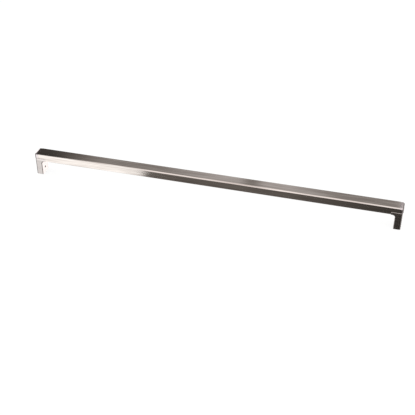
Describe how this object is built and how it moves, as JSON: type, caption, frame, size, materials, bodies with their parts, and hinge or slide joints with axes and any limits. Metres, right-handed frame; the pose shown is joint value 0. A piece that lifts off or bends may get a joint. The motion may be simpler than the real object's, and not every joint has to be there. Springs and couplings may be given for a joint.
{
  "type": "refrigerator door handle",
  "caption": "Straight rectangular stainless bar handle with end caps, on two cast posts that set screws hold on the door's studs.",
  "frame": {"origin": "on the door's surface, midway between the two feet", "axes": "+X along the grip, +Y from the grip's front face to its back face, +Z away from the door"},
  "size_m": [0.7382, 0.0254, 0.0473],
  "materials": {
    "brushed_tube": "stainless steel brushed along the grip",
    "brushed_cap": "stainless steel, satin, a little more violet than the tube",
    "brushed_casting": "cast stainless steel, brushed along the leg",
    "screw_steel": "dark plain steel, turned"
  },
  "bodies": {
    "root": {"grip_tube": "brushed_tube", "end_cap_left": "brushed_cap", "end_cap_right": "brushed_cap", "end_post_left": "brushed_casting", "end_post_right": "brushed_casting", "set_screw_left": "screw_steel", "set_screw_right": "screw_steel"}
  },
  "joints": []
}
